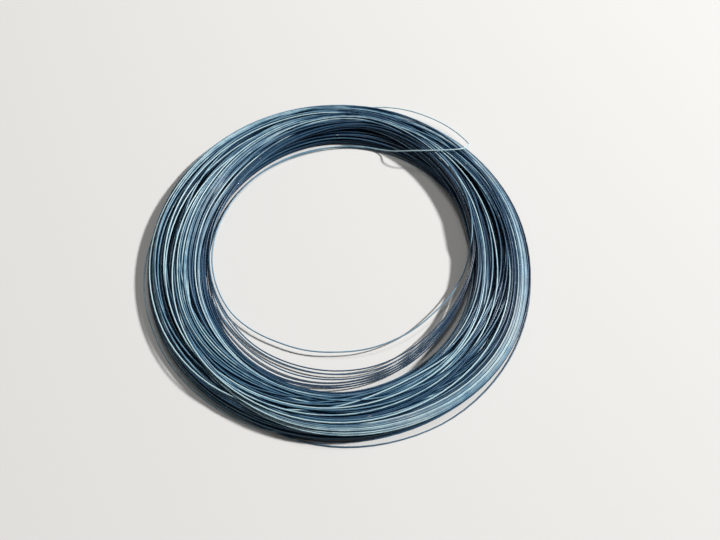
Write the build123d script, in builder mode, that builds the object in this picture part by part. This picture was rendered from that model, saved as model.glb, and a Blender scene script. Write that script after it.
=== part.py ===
# Coil of coated steel fencing wire, untied and lying flat.
# Millimetres, +Z up, +X to the right and +Y away from the near side of the coil.
# The origin is on the floor, under the middle of the whole coil with its loose turns.

from build123d import *
from math import asin, cos, radians, sin
import os

# The wire
wire_diameter = 2.5
wire_sides = 6

# The band of packed turns, seen from above. Its turns have relaxed, so the eye is a little oval and
# the band is narrower in front and behind than at its sides. For each direction, in degrees: the
# eye's edge and the outer edge, as distances from the band's axis.
band_edges = {
    0: (250.0, 362.0),
    45: (263.0, 356.0),
    90: (267.0, 362.0),
    135: (254.0, 361.0),
    180: (247.0, 360.0),
    225: (264.0, 361.0),
    270: (283.0, 362.0),
    315: (266.0, 368.0),
}

# The band in section: flat below, with a steep side towards the eye and a longer slope outwards, each
# the quarter of an ellipse with its shoulder filled out. Distances across it hold where the band has
# its usual width, and they shrink and grow with the width. A side is widest at some height, and its
# foot stands back from there.
usual_width = 104.0
coil_height = 42.0
eye_to_crown = 37.0
fullness = 2.6
slope_steps = 8
eye_side_height = 12.0
eye_side_setback = 6.0
outer_side_height = 7.0
outer_side_setback = 3.0
# The turns that show on the crown lie in bunches, with a ridge for each bunch
bunch_spacing = 8.0
groove_depth = 2.2
level_top = 1.2
cutter_margin = 5.0

# Turns that slipped out of the band. Each is a whole circle of the same wire, slid sideways, with
# the rest of it inside the band: the circle's radius, how far it slid, towards which angle, and how
# high it lies on that side and on the other side.
# A height is a share: 0 is wire that lies on the floor, 1 is wire level with the crown.
slipped_turns = [
    (255.0, 22.0, 85.0, 0.29, 0.09),
    (262.0, 24.0, 78.0, 0.26, 0.06),
    (266.0, 12.0, 30.0, 0.29, 0.20),
    (333.0, 47.0, -58.0, 0.02, 0.31),
    (340.0, 30.0, 208.0, 0.04, 0.34),
]

# The last turn of the wire runs clockwise. Each point is an angle, a distance from the band's axis
# and a height. It starts inside the band at the right and leaves it there.
leaves_band = [(31, 275, 20), (9, 258.5, 17)]
rounds_eye = [
    (-9, 239, 15), (-36, 214, 13), (-62, 205, 12), (-90, 201, 11), (-120, 209, 9), (-148, 229, 7),
    (-178, 238, 5.5), (-205, 241.5, 4.5), (-230, 246.5, 4), (-255, 250, 4), (-272, 257, 4.2),
    (-283, 260, 6),
]
# Its free end climbs out of the eye, crosses the crown in a straight line, hooks over the outside
# and goes back into the band.
climbs_out = [(-290, 260.4, 10.5), (-294.5, 258.5, 18), (-299.5, 259.5, 30)]
crosses_crown = [
    (-303.5, 265, 37.5), (-308, 276.5, 42.4), (-312, 292, 44.4), (-315, 308, 44.6), (-317, 322.5, 44.2),
]
hooks_outside = [
    (-317.9, 338.5, 40.5), (-317.4, 350, 33.5), (-316.2, 359.5, 25), (-314.4, 365, 19.5),
    (-311.5, 369, 16), (-308, 372, 14.2), (-304, 372.5, 13.4), (-299.5, 370, 13),
]
enters_band = [(-295, 364, 13), (-290, 356.5, 13), (-285.5, 349, 13)]

wire_radius = wire_diameter / 2
last_turn_route = leaves_band + rounds_eye + climbs_out + crosses_crown + hooks_outside + enters_band


def slide_vector(slide, toward):
    return Vector(slide * cos(radians(toward)), slide * sin(radians(toward)))


def lying_height(share):
    return wire_radius + share * (coil_height - wire_diameter)


def reach(angle):
    """How far the coil reaches from the band's axis in one direction."""
    reaches = [band_edges[angle][1]]
    for radius, slide, toward, _, _ in slipped_turns:
        reaches.append(radius + wire_radius + slide * cos(radians(toward - angle)))
    return max(reaches)


# The band's axis stands off the origin by half of what the slipped turns add on one side
axis_x = (reach(180) - reach(0)) / 2
axis_y = (reach(270) - reach(90)) / 2


def route_point(angle, radius, height):
    return slide_vector(radius, angle) + Vector(axis_x, axis_y, height)


def slope_points(run, side_height):
    """One slope of the crown in section, ridged by the bunches.

    It rises from the side's widest point to the ridge in the middle of the crown, over a run
    across the band. A point is a distance from that ridge and a height.
    """
    shoulder = []
    for step in range(slope_steps + 1):
        turn = radians(90 * step / slope_steps)
        from_ridge = run * max(cos(turn), 0) ** (2 / fullness)
        shoulder.append((from_ridge, side_height + (coil_height - side_height) * sin(turn) ** (2 / fullness)))
    with BuildLine() as slope:
        Spline(*shoulder, tangents=[(0, 1), (-1, 0)])
    outline = slope.edge()
    half_ridges = 2 * round(outline.length / bunch_spacing - 0.5) + 1
    spots = []
    for count in range(half_ridges + 1):
        along = count / half_ridges
        is_groove = count > 0 and count % 2 == 0
        inward = (outline % along).rotate(Axis.Z, 90)
        spots.append(outline @ along + inward * (groove_depth if is_groove else 0))
    return [(spot.X, spot.Y) for spot in spots]


def level_face(across, height):
    """A level face whose edge runs round the band, at one share of the way across it."""
    points = []
    for angle, (eye_edge, outer_edge) in band_edges.items():
        points.append(route_point(angle, eye_edge + across * (outer_edge - eye_edge), 0))
    with BuildSketch(Plane.XY.offset(height)) as level:
        with BuildLine():
            Spline(*points, periodic=True)
        make_face()
    return level.sketch


def outer_faces():
    """Level faces from the floor up to the middle ridge, for the band without its eye."""
    slope = slope_points(usual_width - eye_to_crown, outer_side_height)
    points = [(usual_width - outer_side_setback, 0)]
    points += [(eye_to_crown + from_ridge, height) for from_ridge, height in slope]
    return [level_face(across / usual_width, height) for across, height in points]


def eye_faces():
    """Level faces through the eye, which is cut out along the crown's steep side."""
    slope = slope_points(eye_to_crown, eye_side_height)
    points = [(eye_side_setback, -cutter_margin), (eye_side_setback, 0)]
    points += [(eye_to_crown - from_ridge, height) for from_ridge, height in slope[:-1]]
    lip = eye_to_crown - level_top
    points += [(lip, coil_height), (lip, coil_height + cutter_margin)]
    return [level_face(across / usual_width, height) for across, height in points]


def wire_section(plane):
    with BuildSketch(plane) as section:
        RegularPolygon(radius=wire_radius, side_count=wire_sides)
    return section.sketch


def turn_ring(radius, slide, toward, share_ahead, share_behind):
    """Where a slipped turn's section stands, and the tilted axis that the turn runs round."""
    ahead_height = lying_height(share_ahead)
    behind_height = lying_height(share_behind)
    tilt = asin((ahead_height - behind_height) / (2 * radius))
    ahead = slide_vector(cos(tilt), toward) + Vector(0, 0, sin(tilt))
    across = slide_vector(1, toward + 90)
    centre = route_point(toward, slide, (ahead_height + behind_height) / 2)
    section_plane = Plane(origin=centre + ahead * radius, x_dir=ahead, z_dir=across)
    return section_plane, Axis(centre, ahead.cross(across))


os.makedirs("parts", exist_ok=True)

with BuildPart() as wire_coil:
    loft(sections=outer_faces(), ruled=True)
    loft(sections=eye_faces(), ruled=True, mode=Mode.SUBTRACT)
    for turn in slipped_turns:
        section_plane, turn_axis = turn_ring(*turn)
        revolve(wire_section(section_plane), axis=turn_axis)
    with BuildLine() as last_turn:
        Spline(*[route_point(*point) for point in last_turn_route])
    sweep(wire_section(Plane(last_turn.line @ 0, z_dir=last_turn.line % 0)), path=last_turn.line)

wire_coil.part.label = "wire_coil"
export_step(wire_coil.part, "parts/wire_coil.step")
size = wire_coil.part.bounding_box().size
print(f"wire_coil: {len(wire_coil.part.solids())} solid, {size.X:.1f} x {size.Y:.1f} x {size.Z:.1f} mm")
print(f"the band's axis stands at {axis_x:.2f}, {axis_y:.2f}")
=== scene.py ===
# %% [markdown]
# # A coil of blue fencing wire
#
# This is a coil of coated steel wire, a little wider than a car wheel is tall. Nothing holds it
# together, so it has relaxed: most turns still lie in a thick flat ring, some have slipped into the
# eye or out over the edge, and the free end crosses the ring and hooks over the outside.
# A plain ring with a picture of wire on it would look smooth at its edges. So the whole coil is
# made here as what it is, one very long wire laid turn upon turn.

# %% Load the frame
import math

import bpy
import numpy as np
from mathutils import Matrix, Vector


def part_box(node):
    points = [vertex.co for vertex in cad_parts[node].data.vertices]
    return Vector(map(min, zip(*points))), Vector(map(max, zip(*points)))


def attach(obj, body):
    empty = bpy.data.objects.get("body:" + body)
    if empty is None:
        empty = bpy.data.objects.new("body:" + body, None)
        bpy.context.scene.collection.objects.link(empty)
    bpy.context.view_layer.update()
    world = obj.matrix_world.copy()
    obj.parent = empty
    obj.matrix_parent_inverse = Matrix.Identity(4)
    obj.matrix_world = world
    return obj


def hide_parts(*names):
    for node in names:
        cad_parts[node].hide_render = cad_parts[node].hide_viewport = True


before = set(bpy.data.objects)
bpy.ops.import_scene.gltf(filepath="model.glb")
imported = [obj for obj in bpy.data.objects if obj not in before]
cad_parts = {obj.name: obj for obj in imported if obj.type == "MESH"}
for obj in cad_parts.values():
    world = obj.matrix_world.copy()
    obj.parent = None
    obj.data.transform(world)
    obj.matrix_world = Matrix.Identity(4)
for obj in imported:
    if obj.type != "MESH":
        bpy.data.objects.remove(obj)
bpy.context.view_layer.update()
coil_low, coil_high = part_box("wire_coil")
print("the coil's box in metres:", coil_low[:], coil_high[:])

# %% [markdown]
# Wire is sold by its thickness in millimetres. So the wire and the ring are measured in those too,
# which keeps the numbers easy to read, and only the finished mesh is turned into metres. The middle
# of the ring isn't quite the middle of the box, because the loose turns reach further out on the
# near side and on the left.

# %% Sizes of the wire and of the ring
MM = 0.001
WIRE = 2.5
RADIUS = WIRE / 2
COIL_HEIGHT = 43.0
RING_X = 2.87
RING_Y = 6.05
print(f"the wire is {WIRE} mm thick, and the ring is {COIL_HEIGHT / WIRE:.0f} wires high")

# %% [markdown]
# A turn of wire is a long line that never kinks. It could be a curve object with handles, but over
# three hundred of those are slow to work with. So a turn is a row of numbers here: its radius at
# equal stations, clockwise from the seam, where one turn ends and the next one begins.

# %% Stations round the ring
STATIONS = 96
SEAM_ANGLE = 40.0
share_of_turn = np.arange(STATIONS) / STATIONS
angles = np.radians(SEAM_ANGLE - 360 * share_of_turn)
print(f"{STATIONS} stations, one every {360 / STATIONS} degrees")

# %% [markdown]
# What the photograph shows is given at a few angles, as knots, and the stations between them are
# filled in. Straight stretches between the knots would leave corners, so the values are evened out
# a few times, as stiff wire does by itself.

# %% Smooth guides from a few knots
def soften(values, times):
    """Evens out values along a closed turn."""
    for _ in range(times):
        values = 0.25 * np.roll(values, 1, -1) + 0.5 * values + 0.25 * np.roll(values, -1, -1)
    return values


def guide(knots, softness=5):
    """Values at every station from (angle, value) knots round the whole turn."""
    table = np.array(sorted((angle % 360, value) for angle, value in knots), float)
    around = np.interp(np.degrees(angles) % 360, table[:, 0], table[:, 1], period=360)
    return soften(around, softness)


print("a lone 1 between zeros is evened out to", soften(np.array([0.0, 1.0, 0.0, 0.0]), 1))

# %% [markdown]
# From above, the ring has an edge round its eye and an edge outside. A new coil has two circles
# there, but this one has sprung into a slight oval, and its ring is narrower in front and behind
# than at the sides. So both edges are guides. They are radii in millimetres, as most of the later
# guides are too.

# %% The ring's edges
inner_edge = guide(
    [(0, 250), (-45, 266), (-90, 279), (-135, 262), (180, 247), (135, 254), (90, 267), (45, 263)]
)
outer_edge = guide(
    [(0, 361), (-15, 364), (-38, 368), (-62, 365), (-90, 360), (180, 358), (90, 361), (45, 355)]
)
ring_width = outer_edge - inner_edge
print(f"the ring is {ring_width.min():.0f} to {ring_width.max():.0f} mm wide")

# %% [markdown]
# Cut through, the ring is a low dome with full shoulders on short upright sides. A mesh could be
# shaped like that and covered with wire. Here the dome is only a formula that says where there is
# still room: a turn is laid where it comes to lie lowest against this line.

# %% The dome that the turns fill
SIDE_HEIGHT = 12.0
FULLNESS = 2.9


def dome(radius):
    """Height of the ring's section at a radius, at every station."""
    across = np.abs(2 * (radius - inner_edge) / ring_width - 1)
    crown = np.clip(1 - across**FULLNESS, 0, 1) ** (1 / FULLNESS)
    return SIDE_HEIGHT + (COIL_HEIGHT - SIDE_HEIGHT) * crown


print(f"the dome is {dome(inner_edge + ring_width / 2).max():.0f} mm high in the middle of the ring")

# %% [markdown]
# A wire comes to rest on what lies below it. A physics engine could drop it, but so much wire would
# take hours, and a formula takes seconds. At each station the wire rests on the floor or on the
# highest wire within a wire's width, and two round wires touch when their middles are one diameter
# apart. Stiff wire bridges the dips, so its height is pulled up to a smooth line over those points.

# %% How a turn comes to rest on the others
def resting_height(radius, below_radius, below_height):
    """Height of a wire's middle at each station, for rows of radii over the turns laid so far."""
    gap = radius[:, None, :] - below_radius[None]
    lift = WIRE**2 - gap**2
    top = np.where(lift > 0, below_height[None] + np.sqrt(np.maximum(lift, 0)), RADIUS)
    return np.maximum(top.max(axis=1, initial=RADIUS), RADIUS)


def bridge(height, rounds):
    """The smooth line of stiff wire over the points that carry it."""
    line = height.copy()
    for _ in range(rounds):
        line = np.maximum(height, soften(line, 2))
    return line


print("a wire across two that touch lies", round(math.sqrt(WIRE**2 - RADIUS**2), 2), "mm above them")

# %% [markdown]
# A pile keeps the turns laid so far. Each new turn drifts from the last one's lane to a lane of
# its own, so all turns together are one unbroken wire. Of the lanes that are offered it takes the
# one that lies lowest against the dome, and near its neighbour, so that turns form bunches. Turns
# laid at random would fill the ring too, but with no bunches they look like straw.

# %% The pile of turns
class Pile:
    """The turns laid so far, and the lane that the next one starts from."""

    def __init__(self, first_lane):
        self.radius = np.empty((0, STATIONS))
        self.height = np.empty((0, STATIONS))
        self.least = np.empty((0, STATIONS))
        self.groups = []
        self.lane = first_lane

    def lay(self, lanes, group, room, beside=None, closeness=0.0, rounds=2, least=RADIUS):
        """Lays one turn along the best of the lanes, and gives that lane back."""
        rows = (1 - share_of_turn) * self.lane + share_of_turn * lanes
        heights = bridge(resting_height(rows, self.radius, self.height), rounds)
        filled = heights / room(rows)
        cost = filled.mean(axis=1) + filled.max(axis=1)
        if beside is not None:
            cost = cost + closeness * np.abs(lanes - beside).mean(axis=1)
        best = int(np.argmin(cost))
        self.radius = np.vstack([self.radius, rows[best]])
        self.height = np.vstack([self.height, np.maximum(heights[best], least)])
        self.least = np.vstack([self.least, np.full(STATIONS, least)])
        self.groups.append(group)
        self.lane = lanes[best]
        return self.lane

    def top(self):
        """Height of the highest wire's upper side."""
        return self.height.max() + RADIUS


pile = Pile(inner_edge + ring_width / 2)
print("the pile is empty, with", pile.radius.shape[1], "stations for each turn")

# %% [markdown]
# Apart from the turns that slipped, no wire lies further in or out than the ring's edges. A lane
# that leads past an edge could be left out, but then the edges would look thin. So it is cut off at
# the edge and evened out, and no corner stays at the cut.

# %% Lanes held inside the ring
def hold_inside(lanes):
    """Lanes kept inside the ring's edges."""
    return soften(np.clip(lanes, inner_edge + RADIUS, outer_edge - RADIUS), 3)


pile.lane = hold_inside(pile.lane)
print("the first turn starts at a radius of", round(float(pile.lane[0])), "mm")

# %% [markdown]
# Six turns lie at the foot of the ring. A pair runs along the far foot, where it shows from above,
# a pair slipped out at the near right, and a pair at the near left. They could be added at the end,
# but the rest of the coil lies on the parts of them that are still inside it. So they go down first.

# %% Turns at the foot of the ring
FOOT_TURNS = [
    [
        (0, 264), (-45, 288), (-90, 300), (-135, 280), (180, 244), (150, 246), (128, 252),
        (90, 261), (60, 264), (20, 262),
    ],
    [
        (0, 262), (-45, 286), (-90, 297), (-135, 277), (180, 242), (150, 244), (128, 249),
        (90, 258), (60, 261), (20, 260),
    ],
    [(0, 359), (-36, 372), (-59, 377), (-90, 371), (-121, 350), (180, 310), (90, 290), (40, 330)],
    [(0, 360), (-36, 375), (-59, 381), (-90, 372), (-121, 350), (180, 310), (90, 290), (40, 330)],
    [
        (0, 300), (-60, 320), (-85, 345), (-109, 361), (-138, 366), (-173, 365), (150, 345),
        (110, 320), (60, 300),
    ],
    [
        (0, 300), (-60, 320), (-85, 346), (-109, 363), (-138, 368), (-173, 366), (150, 345),
        (110, 320), (60, 300),
    ],
]
for knots in FOOT_TURNS:
    pile.lay(guide(knots)[None], "foot", dome)
print(f"{len(pile.groups)} turns at the foot")

# %% [markdown]
# The turns that show lie in flat ribbons, each a group of turns side by side. Every turn could be
# drawn by hand, but a ribbon only needs its number of turns, where its outermost turn runs and how
# wide it is, at a few angles. Where a ribbon narrows, its turns climb onto each other, and where it
# fans out, dark gaps open between them. The first three are the lowest: one along the outside at
# the left, one that spreads over the near side, and the pale sheet at the right.

# %% Ribbons along the outside
RIBBONS = {}
RIBBONS["left_outer"] = {
    "turns": 14,
    "outer": [
        (0, 332), (-45, 334), (-90, 342), (-120, 352), (-150, 353), (-170, 352), (171, 352),
        (149, 354), (127, 354), (103, 350), (79, 345), (45, 336),
    ],
    "width": [
        (0, 28), (-90, 28), (-150, 24), (171, 26), (149, 36), (127, 38), (103, 36), (79, 34),
        (45, 28),
    ],
}
RIBBONS["near_lower"] = {
    "turns": 16,
    "outer": [
        (10, 332), (-12, 340), (-30, 353), (-48, 362), (-65, 361), (-81, 358), (-98, 351),
        (-115, 341), (-131, 330), (-150, 316), (-170, 304), (171, 298), (149, 300), (127, 306),
        (103, 316), (79, 326), (56, 330), (32, 328),
    ],
    "width": [
        (0, 20), (-30, 20), (-48, 42), (-65, 62), (-90, 62), (-115, 52), (-150, 44), (180, 40),
        (90, 36), (45, 22),
    ],
}
RIBBONS["right_outer"] = {
    "turns": 12,
    "outer": [
        (10, 348), (-12, 355), (-30, 365), (-48, 366), (-65, 362), (-81, 359), (-98, 355),
        (-115, 344), (-131, 334), (-150, 322), (-170, 306), (171, 300), (149, 298), (127, 304),
        (103, 318), (79, 332), (56, 341), (32, 344),
    ],
    "width": [
        (0, 32), (-30, 27), (-48, 24), (-90, 22), (-115, 18), (-150, 18), (180, 26), (135, 30),
        (90, 28), (45, 30),
    ],
}
print("turns along the outside:", sum(ribbon["turns"] for ribbon in RIBBONS.values()))

# %% [markdown]
# The next three lie higher. One fans out in the middle of the near side, and two pale sheets show at
# the left and over the far side. They come after the others because each is laid on those before it.

# %% Ribbons on the crown
RIBBONS["near_middle"] = {
    "turns": 13,
    "outer": [
        (10, 282), (-12, 288), (-30, 306), (-48, 322), (-65, 332), (-81, 335), (-98, 332),
        (-115, 325), (-131, 318), (-150, 308), (-170, 298), (171, 294), (149, 298), (127, 308),
        (103, 320), (79, 322), (56, 306), (32, 288),
    ],
    "width": [
        (0, 20), (-30, 26), (-65, 38), (-98, 38), (-131, 36), (180, 40), (135, 36), (103, 36),
        (79, 28), (45, 18),
    ],
}
RIBBONS["left_sheet"] = {
    "turns": 14,
    "outer": [
        (10, 276), (-12, 280), (-30, 296), (-48, 308), (-65, 314), (-81, 315), (-98, 310),
        (-115, 307), (-131, 309), (-150, 308), (-170, 299), (171, 296), (149, 299), (127, 310),
        (103, 322), (79, 318), (56, 300), (32, 284),
    ],
    "width": [
        (0, 16), (-30, 20), (-65, 18), (-98, 14), (-131, 18), (-150, 20), (-170, 26), (171, 28),
        (149, 34), (127, 36), (103, 32), (79, 26), (56, 24), (32, 20),
    ],
}
RIBBONS["top_sheet"] = {
    "turns": 10,
    "outer": [
        (10, 268), (-12, 270), (-30, 279), (-48, 288), (-65, 300), (-81, 305), (-98, 303),
        (-115, 300), (-131, 293), (-150, 285), (-170, 278), (171, 273), (149, 277), (127, 291),
        (103, 310), (79, 318), (56, 302), (32, 284),
    ],
    "width": [
        (0, 12), (-48, 14), (-65, 10), (-98, 8), (-131, 14), (-150, 16), (-170, 18), (171, 18),
        (149, 24), (127, 30), (103, 28), (79, 24), (56, 26), (32, 22),
    ],
}
print("turns in ribbons so far:", sum(ribbon["turns"] for ribbon in RIBBONS.values()))

# %% [markdown]
# A few turns cut across the others at a slant, because they slid sideways after the coil was wound.
# They are ribbons too, of one or two turns, and they are laid last so that they lie on top. Without
# them the crown would look combed.

# %% Turns that cross the ribbons
RIBBONS["inner_crossing"] = {
    "turns": 1,
    "outer": [
        (0, 303), (-30, 300), (-62, 289), (-80, 288), (-100, 293), (-131, 300), (180, 330),
        (150, 338), (90, 332),
    ],
    "width": [(0, 0)],
}
RIBBONS["line_beside_valley"] = {
    "turns": 1,
    "outer": [
        (10, 291), (-12, 304), (-30, 316), (-48, 325), (-65, 330), (-98, 330), (-131, 326),
        (180, 312), (149, 312), (127, 316), (103, 314), (79, 306), (56, 292), (32, 286),
    ],
    "width": [(0, 0)],
}
RIBBONS["low_crossing"] = {
    "turns": 2,
    "outer": [
        (10, 274), (-12, 276), (-30, 281), (-60, 287), (-95, 300), (-106, 307), (-119, 315),
        (-132, 319), (-147, 321), (-170, 322), (171, 324), (149, 327), (127, 328), (90, 331),
        (60, 318), (32, 294),
    ],
    "width": [(0, 4)],
}
RIBBONS["long_crossing"] = {
    "turns": 2,
    "outer": [
        (32, 308), (10, 306), (-12, 303), (-31, 298), (-46, 295), (-60, 291), (-71, 295),
        (-88, 313), (-103, 328), (-119, 342), (-129, 349), (-147, 352), (-170, 352), (171, 350),
        (149, 347), (127, 342), (103, 338), (79, 334), (56, 324),
    ],
    "width": [(0, 4)],
}
print("turns in all ribbons:", sum(ribbon["turns"] for ribbon in RIBBONS.values()))

# %% [markdown]
# The innermost turns slid off the ring's wall into the eye, and on the near side they swing well
# away from it. They could be circles moved sideways, but each has stretches that follow the wall,
# so they are written like the ribbons. The innermost one leads on to the free end.

# %% Turns that slipped into the eye
SLIPPED = {}
SLIPPED["slipped_bunch"] = {
    "turns": 4,
    "outer": [
        (20, 264), (0, 258), (-8, 254), (-20, 249), (-40, 249), (-55, 256), (-73, 264), (-91, 270),
        (-110, 274), (-127, 271), (-148, 261), (-165, 252), (180, 250), (150, 253), (128, 268),
        (103, 286), (79, 302), (66, 300), (43, 281),
    ],
    "width": [
        (0, 5), (-20, 6), (-40, 7), (-73, 12), (-91, 13), (-110, 14), (-127, 15), (-148, 11),
        (180, 6), (90, 12),
    ],
}
SLIPPED["slipped_third"] = {
    "turns": 1,
    "outer": [
        (20, 262), (0, 255), (-8, 251), (-20, 245), (-39, 241), (-55, 243), (-72, 247), (-91, 246),
        (-112, 243), (-129, 244), (-147, 242), (-165, 243), (180, 245), (150, 249), (128, 262),
        (103, 282), (79, 299), (55, 288),
    ],
    "width": [(0, 0)],
}
SLIPPED["slipped_second"] = {
    "turns": 1,
    "outer": [
        (20, 260), (0, 253), (-8, 249), (-20, 242), (-39, 238), (-50, 236), (-71, 239),
        (-91, 237.5), (-112, 237), (-130, 239.5), (-147, 238), (-165, 241), (180, 242), (150, 246),
        (128, 256), (103, 276), (79, 294), (55, 284),
    ],
    "width": [(0, 0)],
}
SLIPPED["leads_to_end"] = {
    "turns": 1,
    "outer": [
        (20, 262), (0, 251), (-8, 246), (-20, 240), (-39, 234.5), (-50, 232.5), (-71, 235),
        (-91, 234), (-112, 233), (-130, 236), (-147, 234), (-165, 239), (180, 241.5), (150, 246),
        (128, 254), (103, 272), (79, 297), (55, 288), (38, 276),
    ],
    "width": [(0, 0)],
}
print("turns in the eye:", sum(ribbon["turns"] for ribbon in SLIPPED.values()))

# %% [markdown]
# The ribbons come to lie on the mass of the ring, so the mass has to leave room for them. A mass
# that fills the whole dome would push them up and out. A ribbon's turns, spread over its width, make
# a layer of some thickness, and the layers are taken off the dome. Where no ribbon lies, the mass
# stays low too, so that dark valleys open between the ribbons.

# %% Room left for the ribbons
WIRE_AREA = math.pi * RADIUS**2
PACKING = 0.6
NARROWEST = 3 * WIRE
EDGE_BLUR = 4.0
LEAST_ROOM = 5.0
VALLEY_DEPTH = guide(
    [(10, 18), (-20, 18), (-50, 10), (-90, 7), (-130, 13), (180, 15), (150, 10), (120, 6), (60, 10)]
)
layers = []
for ribbon in [*RIBBONS.values(), *SLIPPED.values()]:
    section = ribbon["turns"] * WIRE_AREA / PACKING
    layers.append((section, guide(ribbon["outer"]), np.maximum(guide(ribbon["width"]), NARROWEST)))


def room_for_mass(radius):
    """Height that the mass may fill at a radius, below the ribbons."""
    cover = 0
    for section, outer, width in layers:
        inside = np.minimum(outer - radius, radius - (outer - width)) / EDGE_BLUR + 0.5
        cover = cover + section / width * np.clip(inside, 0, 1)
    return np.maximum(dome(radius) - np.maximum(cover, VALLEY_DEPTH), LEAST_ROOM)


middle_room = room_for_mass(inner_edge + ring_width / 2).mean()
print(f"the mass may be {middle_room:.0f} mm high in the middle of the ring")

# %% [markdown]
# The mass of the ring is about two thirds of the wire, and only its edges show. A solid core would
# save work, but it would show through each gap between the turns. The mass was wound in bunches of
# a few turns side by side, and each bunch is a circle a little off centre, so bunches cross at small
# angles. The numbers come from one seeded generator, so the coil is the same in every run.

# %% Lanes for the mass
SEED = 7
chance = np.random.default_rng(SEED)
LANES = 60
LANE_JITTER = 0.008


def circle_lanes(shifts):
    """Lanes from the eye's edge to the outer edge, off centre by a few shifts."""
    across = np.linspace(0, 1, LANES)[:, None] + chance.uniform(-LANE_JITTER, LANE_JITTER)
    centred = inner_edge + across * ring_width
    aside = [shift[0] * np.cos(angles) + shift[1] * np.sin(angles) for shift in shifts]
    return hold_inside(np.vstack([centred + offset for offset in aside]))


print("each turn of the mass can choose from", LANES, "lanes for each way it is off centre")

# %% [markdown]
# A bunch is laid turn by turn. The next turn aims at one step beside the last, a wire's thickness or
# a little more, and it stays with its bunch unless there is much more room elsewhere. The weight of
# that wish is the closeness. With a high one the turns would lie as neatly as on a spool.

# %% Lay the mass
MASS_TURNS = 230
OFF_CENTRE = 9.0
SHIFTS = 4
STEP_RANGE = (2.5, 2.9)
BUNCH_RANGE = (3, 9)
MASS_CLOSENESS = 0.003
while pile.groups.count("mass") < MASS_TURNS:
    shift = chance.normal(0, OFF_CENTRE, (SHIFTS, 2))
    step = chance.choice([-1, 1]) * chance.uniform(*STEP_RANGE)
    beside = None
    for _ in range(chance.integers(*BUNCH_RANGE)):
        lane = pile.lay(circle_lanes(shift), "mass", room_for_mass, beside, MASS_CLOSENESS)
        beside = lane + step
print(f"{pile.groups.count('mass')} turns in the mass, {pile.top():.1f} mm high")

# %% [markdown]
# No turn is quite round, because the wire springs and has been pushed about. Moving each station
# at random would make a crinkled wire. A few slow waves round the turn keep it smooth, and each
# starts anywhere in its round of two pi, which is about 6.3.

# %% A slow drift from side to side
WANDER = 1.4
WAVES = 5
ANY_PHASE = 6.3


def wander():
    """A slow drift from side to side round one turn."""
    drift = 0
    for count in range(1, WAVES + 1):
        size = chance.normal() / count
        drift = drift + size * np.cos(count * angles + chance.uniform(0, ANY_PHASE))
    return WANDER * drift


print("a turn drifts in", WAVES, "slow waves")

# %% [markdown]
# Now the ribbons come to lie on the mass, from the lowest to the highest. A wide ribbon could be a
# row of evenly spaced turns, but it would look like a comb. So its turns go down in pairs that drift
# together, and each may slide a few millimetres to where it lies lower. A ribbon of a few turns
# keeps to its lanes.

# %% Lay the ribbons
BUNCH = 2
PITCH = 0.9
SLACK = 4.0
TRIES = 11
FEW_TURNS = 5
RIBBON_CLOSENESS = 0.03


def lay_ribbon(name, turns, outer, width, **how):
    """Lays a ribbon's turns from its outer to its inner edge."""
    outer = guide(outer)
    width = guide(width)
    bunches = max(round((turns - 1) / BUNCH), 1)
    for turn in range(turns):
        if turns > FEW_TURNS:
            bunch, number = divmod(turn, BUNCH)
            drift = wander() if number == 0 else drift
            aim = outer - bunch / bunches * (width - WIRE) - number * PITCH * WIRE + drift
            lanes = aim + SLACK * np.linspace(-1, 1, TRIES)[:, None]
        else:
            aim = outer - turn / max(turns - 1, 1) * width
            lanes = aim[None]
        pile.lay(lanes, name, dome, aim, RIBBON_CLOSENESS, **how)
    print(f"{name}: {turns} turns, the pile is now {pile.top():.1f} mm high")


for name, ribbon in RIBBONS.items():
    lay_ribbon(name, **ribbon)

# %% [markdown]
# A few single turns lie loose on top of everything. Each is a circle of its own, a little off
# centre, so it runs from one side of the crown to the other and back, across the ribbons. Their
# directions are spread round the ring, because by chance alone they could all lean the same way.

# %% Lay the loose turns on top
STRAYS = 6
STRAY_SHIFT = 24.0
DIRECTION_RANGE = (0, 0.8)
MIDDLE_RANGE = (0.4, 0.6)
SWING_RANGE = (0.6, 1.2)
for stray in range(STRAYS):
    toward = 2 * math.pi * (stray + chance.uniform(*DIRECTION_RANGE)) / STRAYS
    middle = inner_edge + ring_width * chance.uniform(*MIDDLE_RANGE)
    swing = STRAY_SHIFT * chance.uniform(*SWING_RANGE)
    lane = middle + swing * np.cos(angles - toward) + wander()
    pile.lay(hold_inside(lane[None]), "stray", dome)
print(f"{STRAYS} loose turns on top")

# %% [markdown]
# The turns in the eye come over the far side of the crown, drop into the eye at the right, round
# it on the near side a little above the floor, and lie low along the left. Left to the floor, they
# would lie flat on the near side too. So they get a least height, because the stretches of them
# that are still on the ring hold them up.

# %% Lay the turns in the eye
EYE_ROUNDS = 30
SLIPPED_HEIGHT = guide(
    [(0, 14), (-45, 11), (-90, 8), (-135, 4), (180, 2), (135, 2), (90, 2), (45, 8)]
)
for name, ribbon in SLIPPED.items():
    lay_ribbon(name, **ribbon, rounds=EYE_ROUNDS, least=SLIPPED_HEIGHT)
print(f"{len(pile.groups)} whole turns, {pile.top():.1f} mm high")

# %% [markdown]
# Laid one by one, the turns stand too loose. So the pile settles: all turns sink a little, and each
# pair that comes closer than one diameter is pushed apart, up, down or sideways. Testing every wire
# against every other is slow. Sorted by radius, a wire has to be tested only against the next few.

# %% Push wires apart
NEIGHBOURS = 24
HIT_SHARE = 0.6
LEAST_APART = 0.001


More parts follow.
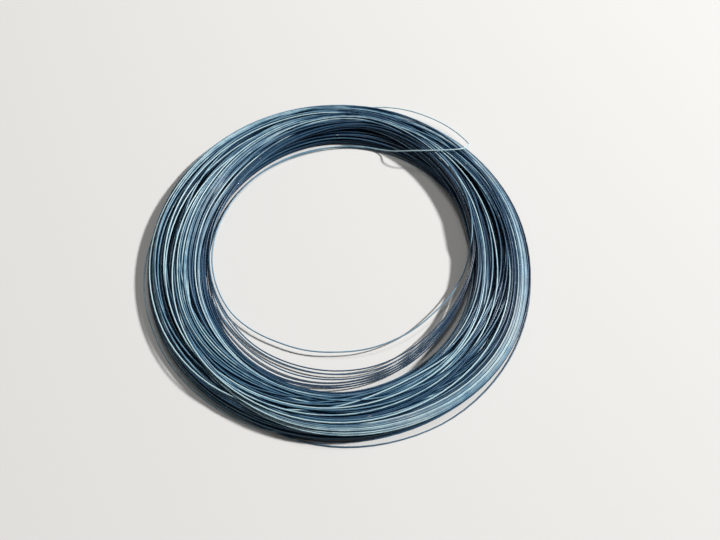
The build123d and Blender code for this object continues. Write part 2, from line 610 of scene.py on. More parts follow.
def push_apart(radius, height):
    """Moves wires that overlap away from each other, at every station."""
    order = np.argsort(radius, axis=0)
    across = np.take_along_axis(radius, order, 0)
    upward = np.take_along_axis(height, order, 0)
    move_across, move_up, hits = np.zeros((3, *radius.shape))
    for step in range(1, NEIGHBOURS):
        gap = across[step:] - across[:-step]
        rise = upward[step:] - upward[:-step]
        apart = np.hypot(gap, rise)
        push = np.maximum(WIRE - apart, 0) / np.maximum(apart, LEAST_APART) / 2
        for part, sign in ((slice(step, None), 1), (slice(None, -step), -1)):
            move_across[part] += sign * gap * push
            move_up[part] += sign * rise * push
            hits[part] += push > 0
    shared = np.maximum(HIT_SHARE * hits, 1)
    np.put_along_axis(radius, order, across + move_across / shared, 0)
    np.put_along_axis(height, order, upward + move_up / shared, 0)


pair_radius = np.array([[300.0], [301.0]])
pair_height = np.array([[RADIUS], [RADIUS]])
push_apart(pair_radius, pair_height)
print(f"two wires 1 mm apart are pushed to {pair_radius[1, 0] - pair_radius[0, 0]:.1f} mm apart")

# %% [markdown]
# Between the pushes, each move is shared with the stations before and after it, because the wire is
# stiff and runs on from turn to turn. The floor, the ring's edges and the room under the ribbons
# hold the turns where they belong.

# %% Settle the pile
SETTLE_ROUNDS = 60
SINK = 0.09
PUSHES = 3


def soften_along(values, times):
    """Evens out values along the whole wire, from turn to turn."""
    line = values.ravel().copy()
    for _ in range(times):
        line[1:-1] = 0.25 * line[:-2] + 0.5 * line[1:-1] + 0.25 * line[2:]
    return line.reshape(values.shape)


def settle(pile):
    """Lets the pile sink into itself."""
    laid = pile.radius.copy()
    lowest = np.minimum(laid, inner_edge + RADIUS)
    highest = np.maximum(laid, outer_edge - RADIUS)
    in_mass = np.array([group == "mass" for group in pile.groups])
    ceiling = np.full_like(laid, COIL_HEIGHT - RADIUS)
    for _ in range(SETTLE_ROUNDS):
        ceiling[in_mass] = room_for_mass(pile.radius[in_mass])
        pile.height -= SINK
        for _ in range(PUSHES):
            push_apart(pile.radius, pile.height)
            pile.radius = np.clip(laid + soften_along(pile.radius - laid, 2), lowest, highest)
            pile.height = np.clip(soften_along(pile.height, 1), pile.least, ceiling)


settle(pile)
print(f"settled, the pile is {pile.top():.1f} mm high")

# %% [markdown]
# The last turn is different all the way round: it leaves the crown at the right, swings widest
# into the eye and lies on the floor along the left and the far side. Laid like the others it would
# drop to the floor too soon. So it has two lists of knots, one for its radius and one for its height.

# %% Where the last turn runs
LAST_RADIUS = [
    (40, 284), (30, 274), (20, 266), (9, 255), (-9, 239), (-36, 214), (-62, 205), (-90, 201),
    (-120, 209), (-148, 229), (-178, 238), (-205, 241.5), (-230, 246.5), (-255, 250), (-270, 256),
    (-280, 260), (-290, 260.4),
]
LAST_HEIGHT = [
    (40, 26), (9, 17), (-9, 15), (-36, 13), (-62, 12), (-90, 11), (-120, 9), (-148, 7),
    (-178, 5.5), (-205, 4.5), (-255, 4), (-275, 4.5), (-283, 6), (-290, 10),
]
print("the last turn comes within", min(knot[1] for knot in LAST_RADIUS), "mm of the middle")

# %% [markdown]
# Then its free end climbs out of the eye, crosses the crown in a straight line, hooks over the
# outside and goes back in among the turns. A radius for each angle can't say that, because the
# hook turns back. So the free end is a list of points, each an angle, a radius and a height.

# %% Where the free end runs
CLIMB_ANGLE = -290
FREE_END = [
    (-293.7, 258.5, 16), (-296.6, 257.5, 24), (-299.8, 259.5, 31), (-303.2, 264.5, 37),
    (-307.2, 274, 41.5), (-310.8, 287, 43.4), (-313.9, 301.5, 44.2), (-316.1, 315, 44.3),
    (-317.5, 327, 43.6), (-317.9, 338.5, 40), (-317.4, 350, 33), (-316.2, 359.5, 24.5),
    (-314.4, 365, 19), (-312, 369, 16), (-309, 372, 14.4), (-305, 374, 13.4), (-300, 374.2, 13),
    (-295, 372.8, 13), (-290, 370, 12.8), (-286, 366, 12.5), (-282, 360.5, 12.5),
    (-278, 353.5, 12.5),
]
print("the free end rises to", max(point[2] for point in FREE_END), "mm")

# %% [markdown]
# A smooth line through those points could be a curve object too. But the tube that follows needs
# its points as numbers, so a natural cubic spline is worked out: a line that passes every point and
# bends between them as a thin springy rod does.

# %% A smooth line through points
def through(points, spacing):
    """An evenly spaced line through points, on a natural cubic spline."""
    points = np.asarray(points, float)
    length = np.concatenate([[0], np.cumsum(np.linalg.norm(np.diff(points, axis=0), axis=1))])
    step = np.diff(length)
    matrix = np.eye(len(points))
    right = np.zeros_like(points)
    for row in range(1, len(points) - 1):
        before, after = step[row - 1], step[row]
        matrix[row, row - 1 : row + 2] = before, 2 * (before + after), after
        slopes = np.diff(points[row - 1 : row + 2], axis=0) / step[row - 1 : row + 1, None]
        right[row] = 6 * (slopes[1] - slopes[0])
    bend = np.linalg.solve(matrix, right)
    spots = np.linspace(0, length[-1], int(length[-1] / spacing) + 1)
    span = np.clip(np.searchsorted(length, spots, side="right") - 1, 0, len(step) - 1)
    width = step[span][:, None]
    far = (spots - length[span])[:, None] / width
    near = 1 - far
    line = near * points[span] + far * points[span + 1]
    return line + ((near**3 - near) * bend[span] + (far**3 - far) * bend[span + 1]) * width**2 / 6


print("halfway round a corner:", through([(0, 0, 0), (10, 0, 0), (10, 10, 0)], 5)[1])

# %% [markdown]
# As far as the climb, the last turn is one more row of stations. It keeps to its own heights, but
# where a turn below stands higher it is lifted over that turn and evened out again. Its own heights
# alone would let it run through the others.

# %% Lay the last turn
WIDE_EVEN = [0.1, 0.2, 0.4, 0.2, 0.1]
NARROW_EVEN = [0.25, 0.5, 0.25]
LIFT_ROUNDS = 20


def route(knots, travelled):
    """Values along the last turn, which runs clockwise past its own start."""
    table = np.array(sorted((-angle, value) for angle, value in knots), float)
    return np.interp(travelled, table[:, 0], table[:, 1])


def even_out(values, weights):
    """Evens out values along an open line."""
    return np.convolve(np.pad(values, len(weights) // 2, mode="edge"), weights, "valid")


travelled = -SEAM_ANGLE + 360 * share_of_turn
travelled = travelled[travelled < -CLIMB_ANGLE]
last_radius = even_out(route(LAST_RADIUS, travelled), WIDE_EVEN)
whole_row = np.zeros(STATIONS)
whole_row[: len(travelled)] = last_radius
below = resting_height(whole_row[None], pile.radius, pile.height)[0][: len(travelled)]
last_height = np.maximum(below, route(LAST_HEIGHT, travelled))
for _ in range(LIFT_ROUNDS):
    last_height = np.maximum(even_out(last_height, NARROW_EVEN), below)
print(f"the last turn rounds the eye at heights of {last_height.min():.0f} mm and more")

# %% [markdown]
# The two stretches become one line in the frame. Put end to end they would meet in a corner. So the
# free end's smooth line starts two points back, on the first stretch.

# %% Join the last turn and the free end
END_SPACING = 4.0


def place(angle, radius, height):
    """Points of the wire in the frame, in millimetres."""
    angle = np.radians(angle)
    return np.stack([RING_X + radius * np.cos(angle), RING_Y + radius * np.sin(angle), height], -1)


rounds_eye = place(-travelled, last_radius, last_height)
end_points = [*rounds_eye[-2:], *(place(*point) for point in FREE_END)]
last_turn = np.vstack([rounds_eye[:-2], through(end_points, END_SPACING)])
last_length = np.linalg.norm(np.diff(last_turn, axis=0), axis=1).sum()
print(f"the last turn is {last_length:.0f} mm long")

# %% [markdown]
# The turns that lie open have faded in the sun. A wire that lies deep among the others is painted
# darker, as painted shade from its neighbours. A shader could look for hidden places by itself, but
# that is slow and doesn't survive an export. So each point of the wire gets a number for how deep it
# lies behind the foremost wire near it. That is asked from straight above and from slanting
# directions on both sides. A minus leans over the eye, and a plus leans outwards. The number beside
# it counts as extra depth, because less sun comes from there, so those slopes get more painted shade.

# %% How deep each wire lies
NEAR = 3.6
FADE_AND_SHADE_DEPTH = 3.1
OPEN_TOWARDS = [(-65, 1.0), (-40, 0.4), (0, 0.0), (40, 0.5), (75, 1.4)]


def depth_behind(radius, height, lean):
    """How far each wire lies behind the foremost wire near it, seen from one leaning direction."""
    outward = math.sin(math.radians(lean))
    upward = math.cos(math.radians(lean))
    across = radius * upward - height * outward
    level = radius * outward + height * upward
    depth = np.zeros_like(level)
    for row in range(len(level)):
        near = np.abs(across - across[row]) < NEAR
        depth[row] = np.where(near, level, -np.inf).max(axis=0) - level[row]
    return depth


depths = [depth_behind(pile.radius, pile.height, lean) + extra for lean, extra in OPEN_TOWARDS]
# Near 0 for a wire that lies deep, painted as in shade, and 1 for one that lies open and faded.
fade_and_shade = np.clip(1 - np.min(depths, axis=0) / FADE_AND_SHADE_DEPTH, 0, 1)
print(f"{100 * (fade_and_shade > 0.8).mean():.0f} percent of the wire lies open")

# %% [markdown]
# The coat also comes out uneven, so each turn gets a tone of its own. Tones spread evenly would
# give a soft grey mix. Most turns are clearly light or clearly dark, so the tones are drawn from a
# curve with two peaks. Some groups have faded more. Round the ring a painted shade darkens the tone,
# most at the right, less in front and behind, and not at the left, and at the right light and dark
# turns differ most.

# %% A tone for each turn
TWO_PEAKS = (0.4, 0.45)
GROUP_TONE = {
    "foot": 0.35, "mass": -0.1, "stray": 0.2, "left_outer": 0.05, "near_lower": 0.1,
    "right_outer": 0.5, "left_sheet": 0.35, "top_sheet": 0.2, "long_crossing": 0.5,
    "slipped_bunch": -0.1, "slipped_third": -0.1, "slipped_second": -0.1,
}
# Painted shade round the ring: how much darker the tone is made at each angle.
PAINTED_SHADE_AROUND = guide(
    [
        (15, -0.9), (-15, -0.9), (-40, -0.3), (-90, -0.3), (-135, -0.1), (180, 0), (135, 0),
        (90, -0.3), (50, -0.5),
    ]
)
TONE_SPREAD = guide([(15, 1.6), (-15, 1.6), (-45, 1.2), (-90, 1.1), (180, 1), (90, 1), (50, 1.2)])
turn_tone = chance.beta(*TWO_PEAKS, len(pile.groups))
turn_tone += np.array([GROUP_TONE.get(group, 0) for group in pile.groups])
print(f"the tones run from {turn_tone.min():.1f} to {turn_tone.max():.1f}")

# %% [markdown]
# Dust has settled on the turns that have lain still the longest. It could lie on all of them alike,
# but on the real coil it greys the outer sheet at the right, some of the top sheet, and little else.
# There is less of it in front and behind than at the sides.

# %% Dust for each turn
PLAIN_DUST = 0.1
DUST_RANGE = (0.4, 1.2)
GROUP_DUST = {"right_outer": 1.3, "top_sheet": 0.7, "near_lower": 0.3}
DUST_AROUND = guide(
    [(0, 1), (-50, 1), (-80, 0.25), (-120, 0.3), (180, 1), (140, 1), (90, 0.4), (45, 1)]
)
turn_dust = np.array([GROUP_DUST.get(group, PLAIN_DUST) for group in pile.groups])
turn_dust *= chance.uniform(*DUST_RANGE, len(pile.groups))
print(f"{(turn_dust > 2 * PLAIN_DUST).sum()} turns are dusty")

# %% [markdown]
# The pile is turned into one long line of points. Each point takes the fading and painted shade of
# its station. Its tone and its dust pass slowly from one turn's to the next one's, because a step at
# the seam would show.

# %% Points along the turns
def make_line(first, last):
    """Points from one turn up to another, how many turns lie before each, and its paint numbers."""
    stop = min(last * STATIONS + 1, len(pile.groups) * STATIONS)
    spots = np.arange(first * STATIONS, stop)
    station = spots % STATIONS
    turns = spots / STATIONS
    around = SEAM_ANGLE - 360 * station / STATIONS
    points = place(around, pile.radius.ravel()[spots], pile.height.ravel()[spots])
    middles = np.arange(len(pile.groups)) + 0.5
    tone = np.interp(turns, middles, turn_tone) * TONE_SPREAD[station] + PAINTED_SHADE_AROUND[station]
    dust = np.interp(turns, middles, turn_dust) * DUST_AROUND[station]
    return points, turns, (fade_and_shade.ravel()[spots], tone, dust)


all_points = make_line(0, len(pile.groups))[0]
whole_length = np.linalg.norm(np.diff(all_points, axis=0), axis=1).sum()
print(f"the whole turns are {whole_length * MM:.0f} m of wire")

# %% [markdown]
# The wire itself is round. A curve with a bevel makes such a tube too, but a mesh can carry paint
# numbers for each point. So each point of the line gets a small polygon of corners, square to the
# wire.

# %% Corners of a tube
def tube_corners(points, sides):
    """Corners of a tube of the wire's own diameter along the points, ring by ring."""
    along = np.gradient(points, axis=0)
    along /= np.linalg.norm(along, axis=1)[:, None]
    side = np.cross(along, (0, 0, 1))
    side /= np.linalg.norm(side, axis=1)[:, None]
    upward = np.cross(side, along)
    around = 2 * np.pi * (np.arange(sides) + 0.5) / sides
    ring = side[:, None] * np.cos(around)[:, None] + upward[:, None] * np.sin(around)[:, None]
    return (points[:, None] + RADIUS * ring).reshape(-1, 3)


print("ten points with six sides give", len(tube_corners(last_turn[:10], 6)), "corners")

# %% [markdown]
# The walls of the tube are faces with four corners, and one face closes each end, so that the wire
# is solid and not a pipe. Each face is listed by its corners: the ring of points that a corner is
# on, and its place round that ring.

# %% Faces of a tube
def tube_faces(rows, sides):
    """For each corner of each face: its ring, its place round it, and the ring its face starts at."""
    row, column = np.divmod(np.arange(rows * sides), sides)
    wall_ring = np.stack([row, row, row + 1, row + 1], -1).ravel()
    wall_place = np.stack([column, column + 1, column + 1, column], -1).ravel()
    cap_ring = np.repeat([0, rows], sides)
    cap_place = np.concatenate([np.arange(sides)[::-1], np.arange(sides)])
    corner_ring = np.concatenate([wall_ring, cap_ring])
    corner_place = np.concatenate([wall_place, cap_place])
    first_ring = np.concatenate([np.repeat(row, 4), cap_ring])
    return corner_ring, corner_place, first_ring


print("nine rows with six sides have", len(tube_faces(9, 6)[0]), "face corners")

# %% [markdown]
# A finish needs to know where it is on the wire. One flat map is the length along the wire in
# metres, for patterns that run with it. The other gives each turn a strip of its own, because a
# picture baked on one strip for the whole wire would be far too coarse. Small margins keep the
# strips apart.

# %% Flat maps and paint numbers
STRIP_START = 0.002
STRIP_LENGTH = 0.996
STRIP_EDGE = 0.1
STRIP_WIDTH = 0.8


def add_map(mesh, name, across, upward):
    """One flat map of a mesh, from its two numbers for each corner of each face."""
    mesh.uv_layers.new(name=name).data.foreach_set("uv", np.stack([across, upward], -1).ravel())


def add_maps(mesh, points, turns, own_turn, corner_ring, share_around):
    """Two flat maps of a tube: one strip for each turn, and its length in metres."""
    length = np.concatenate([[0], np.cumsum(np.linalg.norm(np.diff(points, axis=0), axis=1))]) * MM
    total = own_turn.max() - own_turn.min() + 1
    strip_u = (turns[corner_ring] - own_turn) * STRIP_LENGTH + STRIP_START
    strip_v = (own_turn - own_turn.min() + STRIP_EDGE + STRIP_WIDTH * share_around) / total
    add_map(mesh, "OFBake", strip_u, strip_v)
    add_map(mesh, "wire", length[corner_ring], share_around)


def add_paint(mesh, paint_numbers, sides):
    """Fading and painted shade, tone and dust of each ring of points, as red, green and blue."""
    paint = np.stack([*paint_numbers, np.ones(len(paint_numbers[0]))], -1)
    stored = mesh.attributes.new("paint", "FLOAT_COLOR", "POINT")
    stored.data.foreach_set("color", np.repeat(paint, sides, 0).ravel())


print(f"a strip fills {100 * STRIP_WIDTH:.0f} percent of its own height")

# %% [markdown]
# A mesh is filled from three lists: its corners, which corner each face takes next, and where each
# face starts in that second list. Adding faces one at a time would take minutes for so many. A
# sliver is added before a turn's number is cut to a whole one, because 2.9999999 has to count as 3.

# %% Make a tube
SLIVER = 1e-6


def tube(name, points, turns, paint_numbers, sides):
    """A closed tube along the points, with its flat maps and its paint numbers."""
    corners = tube_corners(points, sides) * MM
    walls = (len(points) - 1) * sides
    faces = walls + 2
    corner_ring, corner_place, first_ring = tube_faces(len(points) - 1, sides)
    mesh = bpy.data.meshes.new(name)
    mesh.vertices.add(len(corners))
    mesh.vertices.foreach_set("co", corners.ravel())
    mesh.loops.add(len(corner_ring))
    mesh.loops.foreach_set("vertex_index", corner_ring * sides + corner_place % sides)
    mesh.polygons.add(faces)
    mesh.polygons.foreach_set("loop_start", np.append(np.arange(walls + 1) * 4, walls * 4 + sides))
    mesh.polygons.foreach_set("use_smooth", np.arange(faces) < walls)
    mesh.update(calc_edges=True)
    own_turn = np.floor(turns[first_ring] + SLIVER)
    add_maps(mesh, points, turns, own_turn, corner_ring, corner_place / sides)
    add_paint(mesh, paint_numbers, sides)
    mesh.validate()
    piece = bpy.data.objects.new(name, mesh)
    bpy.context.scene.collection.objects.link(piece)
    return piece


print("a whole turn with six sides has", STATIONS * 6 + 2, "faces")

# %% [markdown]
# All the whole turns as one mesh would be too heavy, so they are cut into three pieces. Each starts
# with the ring of points that the one before ends with, so no gap opens there. The turns below show
# little and have six sides, and those on top have eight.

# %% The whole turns as three pieces
PIECES = [("lower_turns", 6), ("middle_turns", 6), ("upper_turns", 8)]
whole = len(pile.groups)
first_upper = pile.groups.index("left_outer")
cuts = [0, first_upper // 2, first_upper, whole]
pieces = []
for (name, sides), first, last in zip(PIECES, cuts, cuts[1:]):
    pieces.append(tube(name, *make_line(first, last), sides))
    print(f"{name}: {len(pieces[-1].data.polygons)} faces")

# %% [markdown]
# The last turn is a piece of its own and the one that is seen best, so it has the most sides. In
# the eye it kept a middle blue, and over the crown, where it lies in the open, it is pale. The tone
# changes over a few points round the climb. The piece ends just short of one whole turn on its
# strip, so that its last point isn't taken for the start of a second strip.

# %% The last turn as a piece
END_SIDES = 12
END_TONES = (0.45, 0.95)
TONE_POINTS = 10
END_DUST = 0.1
NEARLY_ONE = 0.999
count = len(last_turn)
climb = len(rounds_eye)
end_turns = whole + np.linspace(0, NEARLY_ONE, count)
end_tone = np.interp(np.arange(count), [climb - TONE_POINTS, climb + TONE_POINTS], END_TONES)
end_paint = (np.ones(count), end_tone, np.full(count, END_DUST))
pieces.append(tube("last_turn", last_turn, end_turns, end_paint, END_SIDES))
print(f"last_turn: {len(pieces[-1].data.polygons)} faces")

# %% [markdown]
# A finish in Blender is a net of nodes, linked from outputs to inputs. It can be drawn in the
# editor. Written down it takes many lines, so a helper adds a node and feeds its inputs in one.

# %% Add a node to the coat
coat = bpy.data.materials.new("blue_coat")
coat.use_nodes = True


def add_node(tree, kind, inputs, **settings):
    """Adds a node to a net. Each input is a value, or the output that feeds it."""
    made = tree.nodes.new(kind)
    for key, value in settings.items():
        setattr(made, key, value)
    for key, value in inputs.items():
        if isinstance(value, bpy.types.NodeSocket):
            tree.links.new(value, made.inputs[key])
        else:
            made.inputs[key].default_value = value
    return made


def node(kind, inputs, **settings):
    """Adds a node to the coat."""
    return add_node(coat.node_tree, kind, inputs, **settings)


print("the coat starts with", len(coat.node_tree.nodes), "nodes")

# %% [markdown]
# A few kinds of node come again and again: a mix of colours, a range moved to another one, sums,
# products and noise. Each gets a short name, so that the finish below reads like a recipe. Noise
# rarely comes near 0 or 1, so only the middle of its range is used.

# %% Helpers for colours and values
NOISE_SPAN = (0.3, 0.7)


def blend(first, second, share):
    """A mix of two colours."""
    return node("ShaderNodeMix", {0: share, 6: first, 7: second}, data_type="RGBA").outputs[2]


def between(value, low, high, to_low=0.0, to_high=1.0):
    """A value moved from one range to another, and held there."""
    limits = {"Value": value, "From Min": low, "From Max": high, "To Min": to_low, "To Max": to_high}
    return node("ShaderNodeMapRange", limits).outputs["Result"]


def times(first, second):
    """One value times another."""
    return node("ShaderNodeMath", {0: first, 1: second}, operation="MULTIPLY").outputs["Value"]


def plus(first, second):
    """One value and another added up."""
    return node("ShaderNodeMath", {0: first, 1: second}, operation="ADD").outputs["Value"]


def noise(vector, scale, detail=3.0):
    """Soft random spots between 0 and 1."""
    inputs = {"Vector": vector, "Scale": scale, "Detail": detail}
    return node("ShaderNodeTexNoise", inputs).outputs["Fac"]


print("noise is used from", NOISE_SPAN[0], "to", NOISE_SPAN[1])

# %% [markdown]
# The wire is steel with a thin blue coat. How light it is follows four things, and a picture painted
# by hand couldn't hold them all over so much wire: long patches along the wire, short streaks, how
# open the wire lies, which paints shade on wire that lies deep, and the tone of its turn, which also
# carries the painted shade round the ring. The last two are the red and the green paint numbers.

# %% The blue coat: light and dark
PATCHES_PER_METRE = 2.2
PATCH_LIGHT = (0.75, 1.1)
STREAKS_PER_METRE = 55.0
STREAK_LIGHT = (0.85, 1.1)
OPEN_VS_SHADE_LIGHT = (0.15, 1)
TONE_SPAN = (-0.6, 1.2)
TONE_LIGHT = (0.0, 1.3)
along_wire = node("ShaderNodeUVMap", {}, uv_map="wire").outputs["UV"]
in_space = node("ShaderNodeTexCoord", {}).outputs["Object"]
paint = node("ShaderNodeAttribute", {}, attribute_name="paint").outputs["Color"]
paint_numbers = node("ShaderNodeSeparateColor", {"Color": paint}).outputs
open_vs_painted_shade = paint_numbers["Red"]
own_tone = paint_numbers["Green"]
patches = between(noise(along_wire, PATCHES_PER_METRE), *NOISE_SPAN, *PATCH_LIGHT)
streaks = between(noise(in_space, STREAKS_PER_METRE), *NOISE_SPAN, *STREAK_LIGHT)
# Wire that lies deep is painted darker here, as painted shade.
light = times(times(patches, streaks), between(open_vs_painted_shade, 0, 1, *OPEN_VS_SHADE_LIGHT))
light = times(light, between(own_tone, *TONE_SPAN, *TONE_LIGHT))
print("the coat now has", len(coat.node_tree.nodes), "nodes")

# %% [markdown]
# The colour runs from navy, where the wire lies deep and is painted as in shade, to a pale grey
# blue, where it has faded. Mixing only those two would look dull in between, because the fading coat
# turns a clear blue first. So four colours stand on a ramp.

# %% The blue coat: colour
NAVY = (0.005, 0.021, 0.052)
BLUE = (0.022, 0.076, 0.145)
FADED = (0.12, 0.26, 0.37)
PALE = (0.45, 0.64, 0.70)
BLUE_AT = 0.35
FADED_AT = 0.72
ramp = node("ShaderNodeValToRGB", {"Fac": light})
ramp.color_ramp.elements[0].color = (*NAVY, 1)
ramp.color_ramp.elements[1].color = (*PALE, 1)
ramp.color_ramp.elements.new(BLUE_AT).color = (*BLUE, 1)
ramp.color_ramp.elements.new(FADED_AT).color = (*FADED, 1)
colour = ramp.outputs["Color"]
print("the coat runs through", len(ramp.color_ramp.elements), "colours")

# %% [markdown]
# Dust lies on the upper side of a wire, and the direction in which the surface faces tells where
# that is. Over the whole coil it would look like flour. So it comes in clouds, on turns that lie
# open and have faded, and as much of it as the blue paint number says.

# %% The blue coat: dust
DUST = (0.50, 0.53, 0.53, 1)
UPPER_SIDE = (0.2, 0.95)
CLOUDS_PER_METRE = 16.0
CLOUD_DETAIL = 5.0
CLOUD_SPAN = (0.35, 0.65)
DUSTY_TONES = (0.1, 0.7)
normal = node("ShaderNodeNewGeometry", {}).outputs["Normal"]
facing_up = between(node("ShaderNodeSeparateXYZ", {"Vector": normal}).outputs["Z"], *UPPER_SIDE)
clouds = between(noise(in_space, CLOUDS_PER_METRE, CLOUD_DETAIL), *CLOUD_SPAN)
dust = times(times(times(facing_up, clouds), paint_numbers["Blue"]), open_vs_painted_shade)
dust = times(dust, between(own_tone, *DUSTY_TONES))
colour = blend(colour, DUST, dust)
print("the coat now has", len(coat.node_tree.nodes), "nodes")

# %% [markdown]
# In small spots the coat is rubbed down to grey zinc, where turns scraped along each other. Round
# spots would look like paint splashes. The noise has 60 waves to a metre of wire but only two round
# it, so a spot is a few times as long as it is wide. Only its highest peaks become spots.

# %% The blue coat: rubbed spots
ZINC = (0.46, 0.49, 0.50, 1)
SPOT_SCALES = (60.0, 2.0, 1.0)
SPOT_SPAN = (0.68, 0.74)
stretched = node("ShaderNodeMapping", {"Vector": along_wire, "Scale": SPOT_SCALES}).outputs["Vector"]
rubbed = times(between(noise(stretched, 1.0), *SPOT_SPAN), open_vs_painted_shade)
colour = blend(colour, ZINC, rubbed)
print("the coat now has", len(coat.node_tree.nodes), "nodes")

# %% [markdown]
# The coat is smooth enough for a soft highlight along each turn. Dust is dull, and so is scraped
# zinc, and turns that lie deep shine less, a painted shade on their highlight. A fine grain of two
# sizes breaks the highlight up. It is bump and no shape, because it is far smaller than the tube's
# faces.

# %% The blue coat: shine and grain
GLOSS_PER_METRE = 90.0
ROUGHNESS = (0.26, 0.42)
DUSTY_ROUGHER = 0.5
RUBBED_ROUGHER = 0.25
SHINE = (0.15, 0.5)
COARSE_GRAIN = 500.0
FINE_GRAIN = 1600.0
GRAIN_STRENGTH = 0.5
GRAIN_HEIGHT = 0.00012
roughness = between(noise(in_space, GLOSS_PER_METRE), *NOISE_SPAN, *ROUGHNESS)
roughness = plus(roughness, times(dust, DUSTY_ROUGHER))
roughness = plus(roughness, times(rubbed, RUBBED_ROUGHER))
# Wire that lies deep gets a weaker highlight, a painted shade on its shine.
shine = between(open_vs_painted_shade, 0, 1, *SHINE)
grain = plus(noise(in_space, COARSE_GRAIN), noise(in_space, FINE_GRAIN))
bumps = {"Height": grain, "Strength": GRAIN_STRENGTH, "Distance": GRAIN_HEIGHT}
grained = node("ShaderNodeBump", bumps).outputs["Normal"]
print("the coat now has", len(coat.node_tree.nodes), "nodes")

# %% [markdown]
# All of it goes into one shader, which stands for coat and bare metal alike: where the coat is
# rubbed off, it turns metallic. Two shaders could be mixed instead, but one is easier to export.

# %% The blue coat: put together
COAT_IOR = 1.55
shader = coat.node_tree.nodes["Principled BSDF"]
shader.inputs["IOR"].default_value = COAT_IOR
surface = {
    "Base Color": colour,
    "Metallic": rubbed,
    "Roughness": roughness,
    "Specular IOR Level": shine,
    "Normal": grained,
}
for socket, source in surface.items():
    coat.node_tree.links.new(source, shader.inputs[socket])
print("the shader has", len(surface), "inputs that vary")

# %% [markdown]
# All pieces get the same coat, because they are one wire. Nothing on a coil moves by itself, so they
# all ride on the root, and together they take the place of the plain solid.

# %% Coat the pieces
for piece in pieces:
    piece.data.materials.append(coat)
    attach(piece, "root")
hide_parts("wire_coil")
print("coated", len(pieces), "pieces")

# %% [markdown]
# The floor is no part of the coil and only carries its shadow. It could be a square plane, but from
# low down its corners would show, so it is a wide round disc, plain and pale.

# %% Floor
FLOOR_RADIUS = 8.0
FLOOR_CORNERS = 96
FLOOR_COLOUR = (0.72, 0.71, 0.69, 1)
FLOOR_ROUGHNESS = 0.9
floor_mesh = bpy.data.meshes.new("floor")
spokes = [2 * math.pi * corner / FLOOR_CORNERS for corner in range(FLOOR_CORNERS)]
rim = [(FLOOR_RADIUS * math.cos(spoke), FLOOR_RADIUS * math.sin(spoke), 0) for spoke in spokes]
floor_mesh.from_pydata(rim, [], [range(FLOOR_CORNERS)])
floor = bpy.data.objects.new("floor", floor_mesh)
bpy.context.scene.collection.objects.link(floor)
pale_floor = bpy.data.materials.new("pale_floor")
pale_floor.use_nodes = True
floor_shader = pale_floor.node_tree.nodes["Principled BSDF"]
floor_shader.inputs["Base Color"].default_value = FLOOR_COLOUR
floor_shader.inputs["Roughness"].default_value = FLOOR_ROUGHNESS
floor_mesh.materials.append(pale_floor)
print("the floor is", 2 * FLOOR_RADIUS, "m wide")

# %% [markdown]
# Round wire shows its shape by a line of light along each turn. A sun lamp would draw it hard and
# thin, so both lamps are discs. The main one stands far off at the right and a little behind, where
# the light in the photograph comes from. A wider one above the far side draws a soft line along the
# turns that the first one can't reach.

# %% Lamps
def area_light(name, position, size, power):
    """A round lamp that faces the middle of the coil."""
    data = bpy.data.lights.new(name, "AREA")
    data.shape = "DISK"
    data.size = size
    data.energy = power
    lamp = bpy.data.objects.new(name, data)
    lamp.location = position
    lamp.rotation_euler = (-Vector(position)).to_track_quat("-Z", "Y").to_euler()
    bpy.context.scene.collection.objects.link(lamp)
    return lamp


lamps = [
    area_light("key", position=(12.0, 3.0, 9.75), size=1.4, power=3400),
    area_light("top", position=(0.6, 2.6, 4.6), size=1.6, power=60),
]
print("lamps:", [lamp.name for lamp in lamps])

# %% [markdown]
# The world fills the shadows a little. As bright as the backdrop should look, it would wash them
# out. So its light is weak. Only where it is looked at, straight or mirrored in the wire, it is
# bright low down, like a pale backdrop round the floor.

# %% World
FILL = 0.1
BACKDROP = 0.82
BACKDROP_TOP = 0.4
WORLD_COLOUR = (1.0, 0.99, 0.97, 1)
world = bpy.data.worlds.new("studio")
bpy.context.scene.world = world
world.use_nodes = True
sky = world.node_tree


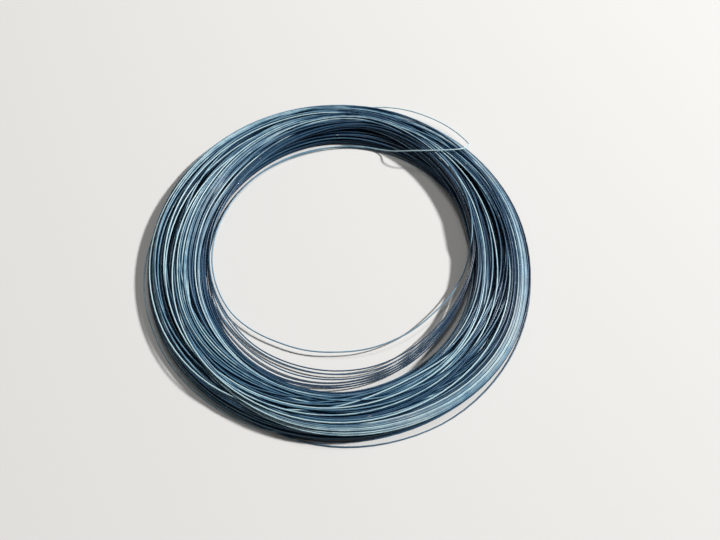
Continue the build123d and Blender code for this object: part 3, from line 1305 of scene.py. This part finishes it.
def larger(first, second):
    """The larger of two values in the world's net."""
    return add_node(sky, "ShaderNodeMath", {0: first, 1: second}, operation="MAXIMUM").outputs["Value"]


rays = add_node(sky, "ShaderNodeLightPath", {}).outputs
mirrored = larger(rays["Is Glossy Ray"], rays["Is Transmission Ray"])
seen = larger(rays["Is Camera Ray"], mirrored)
direction = add_node(sky, "ShaderNodeTexCoord", {}).outputs["Generated"]
rise = add_node(sky, "ShaderNodeSeparateXYZ", {0: direction}).outputs["Z"]
heights = {"Value": rise, "From Min": BACKDROP_TOP, "From Max": BACKDROP_TOP / 2}
backdrop = add_node(sky, "ShaderNodeMapRange", {**heights, "To Min": FILL, "To Max": BACKDROP})
choice = {"Factor": seen, "A": FILL, "B": backdrop.outputs["Result"]}
strength = add_node(sky, "ShaderNodeMix", choice).outputs["Result"]
sky.nodes["Background"].inputs["Color"].default_value = WORLD_COLOUR
sky.links.new(strength, sky.nodes["Background"].inputs["Strength"])
bpy.context.scene.view_settings.view_transform = "Standard"
print("the world has", len(sky.nodes), "nodes")

# %% [markdown]
# The camera stands where the photograph was taken from: above the near side, looking down. Set by
# eye, it would always be a little off. So its slope, its aim and its focal length were fitted until
# the ring's edges fell on those in the photograph. The focal length is counted in its pixels.

# %% Camera
VIEW_ELEVATION = 60.687
VIEW_DISTANCE = 1.6
AIM = (0.04417, -0.02315, 0.0)
PHOTO_WIDTH = 720
FOCAL_PIXELS = 852.52
SENSOR = 36.0
camera_data = bpy.data.cameras.new("camera")
camera_data.sensor_width = SENSOR
camera_data.lens = FOCAL_PIXELS / PHOTO_WIDTH * SENSOR
camera = bpy.data.objects.new("camera", camera_data)
tilt = math.radians(VIEW_ELEVATION)
back = VIEW_DISTANCE * math.cos(tilt)
up = VIEW_DISTANCE * math.sin(tilt)
camera.location = (AIM[0], AIM[1] - back, AIM[2] + up)
camera.rotation_euler = (math.pi / 2 - tilt, 0, 0)
bpy.context.scene.collection.objects.link(camera)
bpy.context.scene.camera = camera
print("camera at", tuple(round(value, 3) for value in camera.location))
